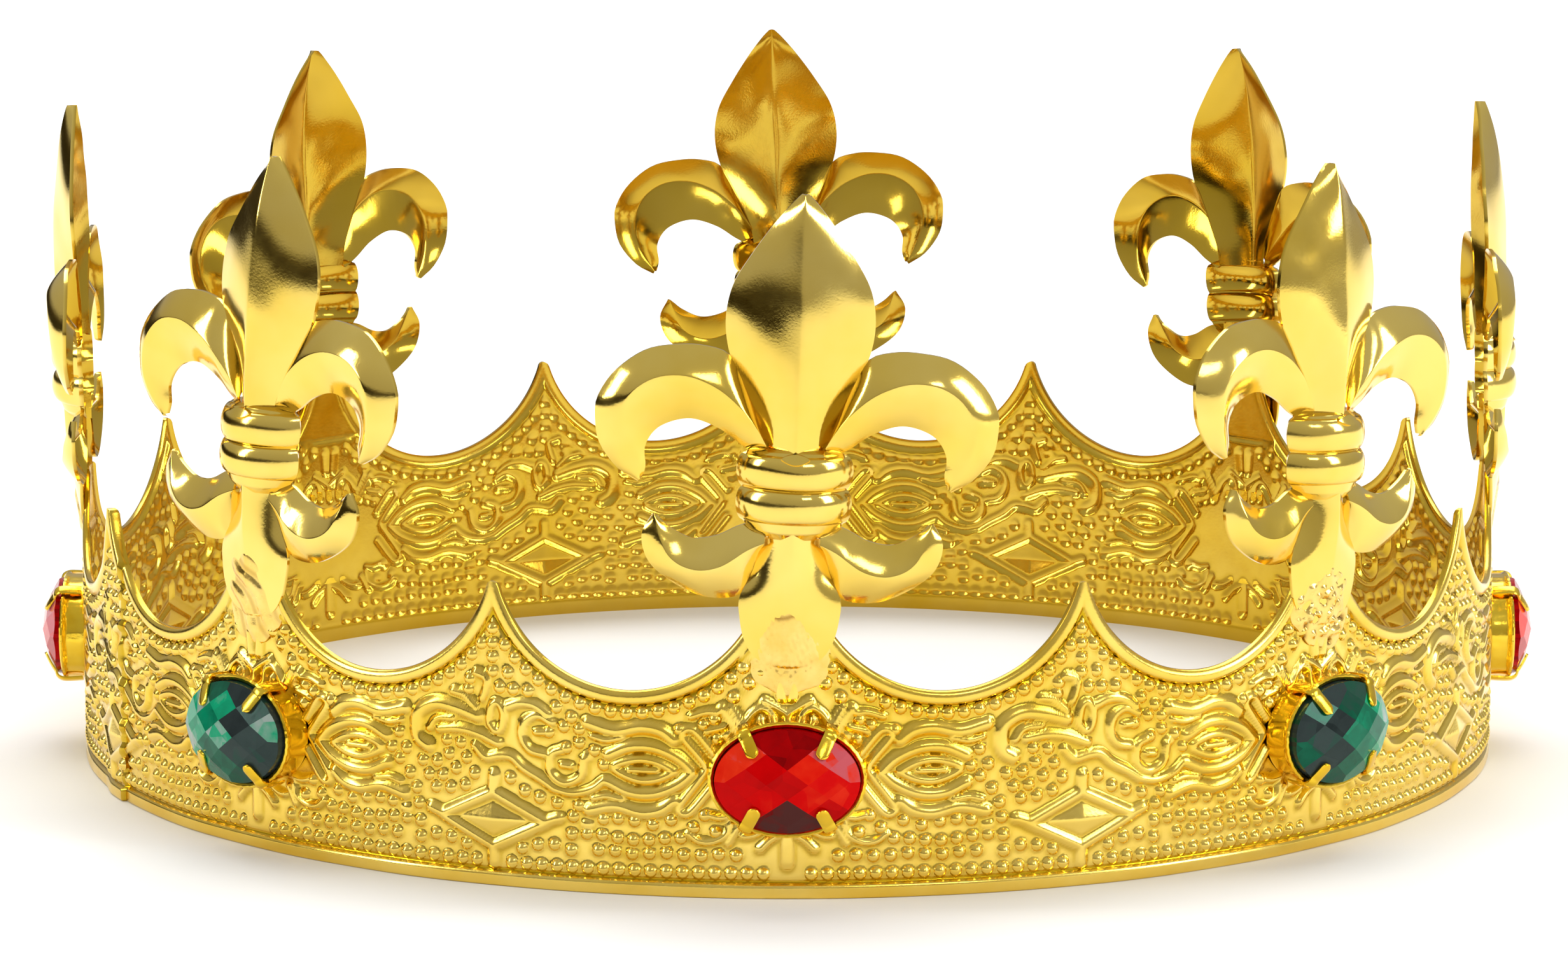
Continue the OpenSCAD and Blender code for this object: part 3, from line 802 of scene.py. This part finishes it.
def makeFleur(k):
    draw = random.Random(40 + k)
    lean = math.radians(crown["leans"][k])
    pitch, lift = crown["pitches"][k], crown["lifts"][k]
    phase = [draw.uniform(0, 6.28) for _ in range(6)]
    tip = fleur["petal"][-1][0]

    def shape(grid):
        u, v, w = grid[..., 0].copy(), grid[..., 1].copy(), grid[..., 2].copy()
        free = np.clip((v - 8) / 10, 0, 1)
        dent = np.sin(u * 0.33 + phase[0]) * np.sin(v * 0.23 + phase[1])
        dent += 0.6 * np.sin(u * 0.62 + phase[2] + v * 0.17) * np.sin(v * 0.41 + phase[3])
        w = w + fleur["dent"] * dent * free
        w = w + pitch * (np.clip(v, 0, None) / tip) ** 1.3
        return onStrip(k * 45, crown["footHeight"] + lift, leaned(u, v, w, lean))

    part = newPart()
    across = acrossSteps(27)
    sheet = fleur["sheet"]
    # central petal
    v, half, tall = columnsOf(fleur["petal"], 56)
    petal = np.zeros((len(v), len(across), 3))
    petal[..., 0] = half[:, None] * across
    petal[..., 1] = v[:, None]
    petal[..., 2] = tall[:, None] * crestProfile(np.abs(across), fleur["petalBulge"])[None]
    back = petal.copy()
    back[..., 2] -= sheet
    addSheet(part, shape(petal), shape(back))
    for side in (1, -1):
        for blade in ("arm", "curl"):
            lines = [fleur[blade + line] for line in ("Outer", "Ridge", "Inner", "Tall")]
            bladeSheet(part, *lines, side, shape)
    # stem with its tongue on the strip
    v, half, tall, edge = columnsOf(fleur["stem"], 40)
    stem = np.zeros((len(v), len(across), 3))
    stem[..., 0] = half[:, None] * across
    stem[..., 1] = v[:, None]
    crest = crestProfile(np.abs(across), fleur["stemBulge"])[None]
    stem[..., 2] = edge[:, None] + (tall - edge)[:, None] * crest
    back = stem.copy()
    back[..., 2] -= fleur["stemSheet"]
    addSheet(part, shape(stem), shape(back))
    # collar with two rolls
    v = np.linspace(fleur["collarFrom"], fleur["collarTo"], 84)
    table = np.array(fleur["skirt"])
    half, deep = np.interp(v, table[:, 0], table[:, 1]), np.interp(v, table[:, 0], table[:, 2])
    for at, size in fleur["rolls"]:
        swell = np.sqrt(np.clip(1 - ((v - at) / size) ** 2, 0, 1))
        half = half + fleur["rollSide"] * swell
        deep = deep + fleur["rollOut"] * swell
    radius = (half**2 + deep**2) / (2 * deep)
    reach = np.arcsin(np.clip(half / radius, -1, 1))
    turn = reach[:, None] * np.linspace(-1, 1, 37)[None]
    sideways = radius[:, None] * np.sin(turn)
    forward = deep[:, None] - radius[:, None] * (1 - np.cos(turn))
    collar = np.stack([sideways, np.repeat(v[:, None], 37, 1), forward], 2)
    back = collar.copy()
    back[..., 0] *= fleur["collarInner"]
    back[..., 2] -= fleur["collarSheet"]
    addSheet(part, shape(collar), shape(back))
    # pointed facet where the petal's ridge ends on the collar
    at, halfWide, halfHigh, reach = fleur["cap"]
    turn = np.linspace(-1, 1, 15)
    rows = np.linspace(-1, 1, 7)
    cap = np.zeros((7, 15, 3))
    cap[..., 0] = halfWide * turn[None]
    cap[..., 1] = at + rows[:, None] * halfHigh * (1 - turn**2)[None]
    cap[..., 2] = reach - fleur["capFall"] * (rows[:, None] * (1 - turn**2)[None] + turn**2)
    back = cap.copy()
    back[..., 2] -= fleur["capSheet"]
    addSheet(part, shape(cap), shape(back))
    place, verts, faces = crown["places"][k], part["verts"], part["faces"]
    node = "fleur_" + place
    piece = finishPiece("fleurDeLis_" + place, verts, faces, fleurGold, node, fleur["crisp"])
    # painted shade: the inner side of every sheet is darkened
    paintPoints(piece, [fleur["innerShade"] * inside for inside in part["inside"]])


for k in range(8):
    makeFleur(k)
print("crown: fleurs pressed")


setting = {
    "length": 18.0,
    "width": 13.0,
    "girdle": 3.4,
    "dome": 3.0,
    "fall": 0.78,  # share of the dome lost towards the girdle
    "spacing": 3.5,  # facets to half the length
    "facetRange": 3.7,
    "lastFacet": 0.96,
    "sides": 72,
    "stoneFoot": 1.2,
    "stoneGap": 0.02,
    "lipBeads": 46,
    "crinkle": 0.13,
    "prongAt": [55, 125, 235, 305],  # degrees round the oval
    "prongWide": 0.82,
    "prongReach": 2.5,
    "prongSheet": 0.4,
    "prongClear": 0.12,  # over the stone, and a little more at the tip
    "prongRise": 0.1,
    "crisp": 40,
}


def ovalPoint(turn, grow):
    a, b = setting["length"] / 2, setting["width"] / 2
    nx, ny = b * np.cos(turn), a * np.sin(turn)
    size = np.hypot(nx, ny)
    return a * np.cos(turn) + grow * nx / size, b * np.sin(turn) + grow * ny / size


def domeHeight(x, y):
    q2 = (x / (setting["length"] / 2)) ** 2 + (y / (setting["width"] / 2)) ** 2
    return setting["girdle"] + setting["dome"] * (1 - setting["fall"] * np.minimum(q2, 1))


def makeStone(k):
    draw = random.Random(7 + k)
    a, b = setting["length"] / 2, setting["width"] / 2
    work = bmesh.new()
    rings = []
    sides = setting["sides"]
    for w in (setting["stoneFoot"], setting["girdle"] + setting["dome"] + 0.2):
        ring = []
        for i in range(sides):
            x, y = ovalPoint(2 * math.pi * i / sides, -setting["stoneGap"])
            ring.append(work.verts.new((x, y, w)))
        rings.append(ring)
    for i in range(sides):
        j = (i + 1) % sides
        work.faces.new((rings[0][i], rings[0][j], rings[1][j], rings[1][i]))
    work.faces.new(rings[1])
    work.faces.new(list(reversed(rings[0])))
    step = setting["spacing"]
    for i in range(-3, 4):
        for j in range(-3, 4):
            if (i + j) % 2 or math.hypot(i, j) > setting["facetRange"]:
                continue
            x, y = i * a / step, j * b / step
            size = math.hypot(i, j) / step
            q = min(setting["lastFacet"], size)
            if size > q:
                x, y = x * q / size, y * q / size
            w = setting["girdle"] + setting["dome"] * (1 - setting["fall"] * q * q)
            steep = 2 * setting["fall"] * setting["dome"]
            normal = Vector((steep * x / a**2, steep * y / b**2, 1)).normalized()
            geom = work.verts[:] + work.edges[:] + work.faces[:]
            cut = bmesh.ops.bisect_plane(
                work, geom=geom, dist=1e-5, plane_co=(x, y, w), plane_no=normal, clear_outer=True
            )
            edges = [e for e in cut["geom_cut"] if isinstance(e, bmesh.types.BMEdge) and e.is_boundary]
            if len(edges) > 2:
                bmesh.ops.edgenet_fill(work, edges=edges)
    bmesh.ops.remove_doubles(work, verts=work.verts[:], dist=1e-4)
    bmesh.ops.dissolve_degenerate(work, dist=1e-4, edges=work.edges[:])
    bmesh.ops.recalc_face_normals(work, faces=work.faces[:])
    points = [v.co[:] for v in work.verts]
    work.verts.index_update()
    faces = [[v.index for v in f.verts] for f in work.faces]
    normals = [f.normal.copy() for f in work.faces]
    centres = [f.calc_center_median() for f in work.faces]
    work.free()
    verts = onStrip(k * 45, crown["stoneHeight"], points)
    red = k % 2 == 0
    place = crown["places"][k]
    finish, slot = (redStone, "red_stone") if red else (greenStone, "green_stone")
    name, node = "stone_" + place + "_cut", "stone_" + place
    mesh = finishPiece(name, verts.tolist(), faces, finish, node, None, False).data
    mesh.polygons.foreach_set("use_smooth", [False] * len(mesh.polygons))
    # painted light: each facet is made lighter or darker by where it sits and which way it faces, standing
    # for a cut stone's reflections, highlights and shade; a few random green facets get painted glints
    litAndShadedTones = []
    for normal, centre in zip(normals, centres):
        side = centre.x / a
        outer = side * (1 if k < 4 else -1)  # away from the front stone
        high = centre.y / b
        if normal.z < 0.25:
            tone = draw.uniform(0.2, 0.45)
        elif red:
            tone = draw.choice([0.5, 0.6, 0.66, 0.7, 0.74])
            if high < -0.5 and abs(side) < 0.3:
                tone = 0.03
            elif high > 0.5 and abs(side) < 0.3:
                tone = 0.24
            elif side > 0.55 and high > 0.05:
                tone = 0.97
            elif side < -0.55 and high > 0.05:
                tone = 0.88
        else:
            shades = [0.62, 0.7, 0.84, 0.5] if outer > -0.1 else [0.3, 0.22, 0.12, 0.34, 0.5]
            tone = draw.choice(shades)
            if draw.random() < 0.14:
                tone = 0.96
            if outer > 0.6:
                tone = 0.9
        litAndShadedTones.append(tone + draw.uniform(-0.03, 0.03))
    paintedFacetLight = mesh.attributes.new("paintedFacetLight", "FLOAT", "FACE")
    paintedFacetLight.data.foreach_set("value", litAndShadedTones)


def makeCup(k):
    draw = random.Random(90 + k)
    count = 144
    turn = np.linspace(0, 2 * math.pi, count, endpoint=False)
    lobes = [(draw.randint(low, high), draw.uniform(0, 6.28), 0.5) for low, high in ((9, 15), (19, 27))]
    crinkle = sum(s * np.abs(np.sin(n * turn / 2 + p)) for n, p, s in lobes) * setting["crinkle"]
    beads = np.abs(np.sin(setting["lipBeads"] * turn / 2))
    g = setting["girdle"]
    rings = [  # outwards from the stone, height, how much crinkle, how much bead
        (0.45, -0.35, 0.0, 0), (0.55, 0.1, 0.6, 0), (0.5, 0.8, 1.0, 0), (0.48, 1.6, 1.0, 0),
        (0.5, 2.3, 0.8, 0), (0.52, g - 0.75, 0.3, 0), (0.62, g - 0.6, 0.0, 0.4), (0.72, g - 0.35, 0, 1),
        (0.7, g - 0.12, 0, 1), (0.5, g + 0.05, 0, 0.7), (0.28, g + 0.02, 0, 0.3), (0.1, g - 0.15, 0, 0),
        (0.06, g - 0.8, 0, 0), (0.06, 1.25, 0, 0), (-1.5, 1.0, 0, 0),
    ]
    verts, faces = [], []
    for grow, w, bend, bead in rings:
        x, y = ovalPoint(turn, 0)
        reach = grow + crinkle * bend - 0.5 * setting["crinkle"] * bend + 0.13 * bead * beads
        nx, ny = ovalPoint(turn, 1)
        verts += np.stack([x + (nx - x) * reach, y + (ny - y) * reach, np.full(count, w)], 1).tolist()
    for i in range(len(rings) - 1):
        for j in range(count):
            n = (j + 1) % count
            faces.append((i * count + j, i * count + n, (i + 1) * count + n, (i + 1) * count + j))
    faces.append(list(range((len(rings) - 1) * count, len(rings) * count)))
    faces.append(list(reversed(range(count))))
    part = newPart()
    part["verts"] = onStrip(k * 45, crown["stoneHeight"], verts).tolist()
    part["faces"], part["count"] = faces, len(verts)
    # prongs bent over the stone
    for at in setting["prongAt"]:
        t = math.radians(at + draw.uniform(-2.5, 2.5))
        bx, by = ovalPoint(t, 0)
        nx, ny = ovalPoint(t, 1)
        nx, ny = nx - bx, ny - by
        reach = setting["prongReach"] * draw.uniform(0.88, 1.1)
        path = [(0.78, 0.7), (0.86, 1.8), (0.9, g - 0.5), (0.82, g + 0.15), (0.5, g + 0.62)]
        for step in np.linspace(0.0, 1, 9):
            inward = -step * reach
            x, y = bx + nx * inward, by + ny * inward
            clear = setting["prongClear"] + setting["prongRise"] * step
            path.append((inward, float(domeHeight(x, y)) + clear))
        path = smoothLine(path, 34)
        along = np.concatenate([[0], np.cumsum(np.linalg.norm(np.diff(path, axis=0), axis=1))])
        left = along[-1] - along
        halfWide = setting["prongWide"]
        rounded = np.sqrt(np.clip(halfWide**2 - (halfWide - left) ** 2, 0.02, None))
        half = np.where(left < halfWide, rounded, halfWide)
        across = np.linspace(-1, 1, 9)
        slope = np.gradient(path, axis=0)
        slope /= np.linalg.norm(slope, axis=1, keepdims=True)
        up = np.stack([slope[:, 1], -slope[:, 0]], 1)  # away from the stone
        front = np.zeros((len(path), len(across), 3))
        back = np.zeros((len(path), len(across), 3))
        for j, c in enumerate(across):
            crest = setting["prongSheet"] * (0.55 + 0.45 * math.sqrt(max(0.0, 1 - c * c)))
            for grid, high in ((front, crest), (back, 0.0)):
                out = path[:, 0] + up[:, 0] * high
                grid[:, j, 0] = bx + nx * out - ny * half * c
                grid[:, j, 1] = by + ny * out + nx * half * c
                grid[:, j, 2] = path[:, 1] + up[:, 1] * high
        addSheet(part, *(onStrip(k * 45, crown["stoneHeight"], grid) for grid in (front, back)))
    name, node = "cup_" + crown["places"][k] + "_pronged", "cup_" + crown["places"][k]
    finishPiece(name, part["verts"], part["faces"], cupGold, node, setting["crisp"])


for k in range(8):
    makeCup(k)
    makeStone(k)
print("crown: stones set in their cups")


solder = {
    "styles": ["sand", "crust", "sand", "folds", "crust", "sand", "folds", "folds"],
    "centre": 2.1,
    "wide": 5.3,
    "tall": 5.5,
    "rise": 0.17,
    "under": 0.05,
    "edge": 0.12,
    "flow": 0.4,  # share of the patch that slopes to its edge
    "grainTall": 0.34,
    "foldTall": 0.2,
    "sandTall": 0.028,
    "lobes": [(2, 0.07), (3, 0.05), (7, 0.035)],
    "grains": 70,
    "crisp": 60,
}


def makeSolder(k):
    draw = random.Random(300 + k)
    style = solder["styles"][k]
    lean = math.radians(crown["leans"][k])
    phase = [draw.uniform(0, 6.28) for _ in range(8)]
    count, rings = 96, 40
    turn = np.linspace(0, 2 * math.pi, count, endpoint=False)
    edge = 1 + sum(size * np.sin(n * turn + phase[i]) for i, (n, size) in enumerate(solder["lobes"]))
    out = np.linspace(0.0, 1, rings)[1:]
    u = solder["wide"] * np.outer(out, np.cos(turn) * edge)
    v = solder["centre"] + solder["tall"] * np.outer(out, np.sin(turn) * edge)
    table = np.array(sorted(fleur["stem"]))
    half = np.interp(v, table[:, 0], table[:, 1])
    ridge = np.interp(v, table[:, 0], table[:, 2])
    over = np.clip(1 - np.abs(u) / np.maximum(half, 0.1), 0, 1)
    onFoot = (np.abs(u) < half) & (v > 0)
    stemTop = np.where(onFoot, 0.5 + (ridge - 0.5) * over**0.9, strip["seatTall"])
    flow = np.clip((1 - out) / solder["flow"], 0, 1)[:, None] ** 0.7
    body = stemTop - solder["edge"] + (solder["edge"] + solder["rise"]) * flow
    for _ in range(2):  # run together over the edge of the foot
        body[1:-1] = (body[:-2] + 2 * body[1:-1] + body[2:]) / 4
    body = np.maximum(body, 0.3 + 0.4 * flow)
    if style == "crust":
        rough = 0.0
        for _ in range(solder["grains"]):
            a0, d0 = draw.uniform(0, 6.28), math.sqrt(draw.uniform(0, 1)) * 0.93
            cu = solder["wide"] * d0 * math.cos(a0)
            cv = solder["centre"] + solder["tall"] * d0 * math.sin(a0)
            size = draw.uniform(0.45, 1.0)
            sign = 1 if draw.random() < 0.68 else -1
            away = ((u - cu) ** 2 + (v - cv) ** 2) / (size * 0.55) ** 2
            rough = rough + sign * solder["grainTall"] * np.exp(-away)
        dark = np.clip(-rough * 3.2, 0, 1)
        body = body + np.clip(rough, -0.4, 0.6) * np.minimum(1, flow * 1.5)
    elif style == "folds":
        run = u * 0.75 + v * 0.65
        fold = np.sin(run * 1.9 + 1.3 * np.sin(v * 0.55 - u * 0.4 + phase[3]) + phase[4])
        body = body + solder["foldTall"] * np.clip(fold, -0.6, 1) * flow
        dark = np.clip(-fold - 0.55, 0, 1) * 0.9
    else:
        sand = np.sin(u * 5.1 + phase[3]) * np.sin(v * 4.7 + phase[4])
        sand = sand + np.sin(u * 8.9 + v * 3 + phase[5])
        body = body + solder["sandTall"] * sand * flow
        line = np.exp(-(((v - 6.6 - 0.25 * np.sin(u * 1.4)) / 0.28) ** 2)) * (np.abs(u) < 2.6)
        dark = 0.8 * line
    # the pad wraps round the strip, so it drops away sideways with it
    fall = crown["radius"] - np.sqrt(crown["radius"] ** 2 - u**2)

    foot = crown["footHeight"] + crown["lifts"][k]
    verts = []
    for high, across, along in (
        (body - fall, u, v),
        (solder["under"] - fall, u, v),
        (body[0].mean(), 0.0, solder["centre"]),
        (solder["under"], 0.0, solder["centre"]),
    ):
        verts += onStrip(k * 45, foot, leaned(across, along, high, lean)).reshape(-1, 3).tolist()
    rows = rings - 1
    faces = []
    base = rows * count
    for i in range(rows - 1):
        for j in range(count):
            n = (j + 1) % count
            ring, nextRing = i * count, (i + 1) * count
            faces.append((ring + j, nextRing + j, nextRing + n, ring + n))
            faces.append((base + ring + j, base + ring + n, base + nextRing + n, base + nextRing + j))
    for j in range(count):
        n = (j + 1) % count
        faces.append((2 * base, j, n))
        faces.append((2 * base + 1, base + n, base + j))
        last = (rows - 1) * count
        faces.append((last + j, base + last + j, base + last + n, last + n))
    name, node = "solder_" + crown["places"][k] + "_pad", "solder_" + crown["places"][k]
    piece = finishPiece(name, verts, faces, solderGold, node, solder["crisp"])
    paintPoints(piece, np.concatenate([dark.reshape(-1), np.zeros(base + 2)]))


for k in range(8):
    makeSolder(k)
print("crown: feet soldered")


studio = {
    "floorSize": 7.0,
    "floorColour": (0.83, 0.83, 0.82),
    "camera": (-0.0004, -0.9016, 0.1925),
    "lookDown": 9.855,
    "lens": 153.5,
    "tent": 0.5,
    "tentSlant": (0.16, 0.0, 1.0),  # the tent is darker to the left
    "tentTones": [  # from straight down to straight up
        (0.0, (0.10, 0.08, 0.05)), (0.48, (0.05, 0.04, 0.02)), (0.505, (0.10, 0.08, 0.05)),
        (0.55, (0.80, 0.78, 0.75)), (0.85, (1.0, 1.0, 1.0)), (1.0, (1.0, 1.0, 1.0)),
    ],
    "lamps": [  # name, place, aim, width, height, watts
        ("softLeft", (-1.3, -0.5, 0.75), (0, 0, 0.05), 0.3, 0.9, 8),
        ("softRight", (1.3, -0.6, 0.7), (0, 0, 0.05), 0.45, 0.9, 11),
        ("softTop", (0, 0.8, 1.4), (0, 0.3, 0), 1.8, 1.1, 30),
        ("softFront", (0.7, -1.6, 1.3), (0, 0, 0.04), 0.6, 0.4, 4),
    ],
}


def makeFloor():
    mesh = bpy.data.meshes.new("tableTop")
    work = bmesh.new()
    bmesh.ops.create_grid(work, x_segments=24, y_segments=24, size=studio["floorSize"] / 2)
    work.to_mesh(mesh)
    work.free()
    made, nodes, links, shader = newMaterial("paleTable")
    place = nodes.new("ShaderNodeTexCoord").outputs["Object"]
    mottle = noiseNode(nodes, links, place, 6, 2)
    pale = studio["floorColour"]
    faint = tuple(c * 0.985 for c in pale)
    tone = rampNode(nodes, links, mottle.outputs["Fac"], [(0.3, faint), (0.7, pale)])
    links.new(tone.outputs["Color"], shader.inputs["Base Color"])
    shader.inputs["Roughness"].default_value = 0.9
    shader.inputs["Specular IOR Level"].default_value = 0.1
    mesh.materials.append(made)
    floor = bpy.data.objects.new("tableTop", mesh)
    bpy.context.collection.objects.link(floor)


def makeLamp(name, spot, aim, wide, high, power):
    lamp = bpy.data.lights.new(name, "AREA")
    lamp.shape = "RECTANGLE"
    lamp.size, lamp.size_y, lamp.energy = wide, high, power
    made = bpy.data.objects.new(name, lamp)
    made.location = spot
    made.rotation_euler = (Vector(aim) - Vector(spot)).to_track_quat("-Z", "Y").to_euler()
    bpy.context.collection.objects.link(made)


def makeWorld():
    # a pale tent that darkens towards the horizon, as round a product on a white table
    world = bpy.data.worlds.new("studioTent")
    bpy.context.scene.world = world
    world.use_nodes = True
    nodes, links = world.node_tree.nodes, world.node_tree.links
    back = nodes["Background"]
    place = nodes.new("ShaderNodeTexCoord").outputs["Generated"]
    slant = nodes.new("ShaderNodeVectorMath")
    slant.operation = "DOT_PRODUCT"
    slant.inputs[1].default_value = studio["tentSlant"]
    links.new(place, slant.inputs[0])
    height = spreadNode(nodes, links, slant.outputs["Value"], -1, 1, 0, 1)
    ramp = rampNode(nodes, links, height.outputs["Result"], studio["tentTones"])
    links.new(ramp.outputs["Color"], back.inputs["Color"])
    back.inputs["Strength"].default_value = studio["tent"]


makeFloor()
makeWorld()
for name, spot, aim, wide, high, power in studio["lamps"]:
    makeLamp(name, spot, aim, wide, high, power)

camera = bpy.data.cameras.new("camera")
camera.lens = studio["lens"]
camera.sensor_width = 36
camera.clip_start, camera.clip_end = 0.01, 30
cameraObject = bpy.data.objects.new("camera", camera)
cameraObject.location = studio["camera"]
cameraObject.rotation_euler = (math.radians(90 - studio["lookDown"]), 0, 0)
bpy.context.collection.objects.link(cameraObject)
bpy.context.scene.camera = cameraObject
bpy.context.scene.view_settings.view_transform = "Standard"
print("crown: floor, light and camera set")
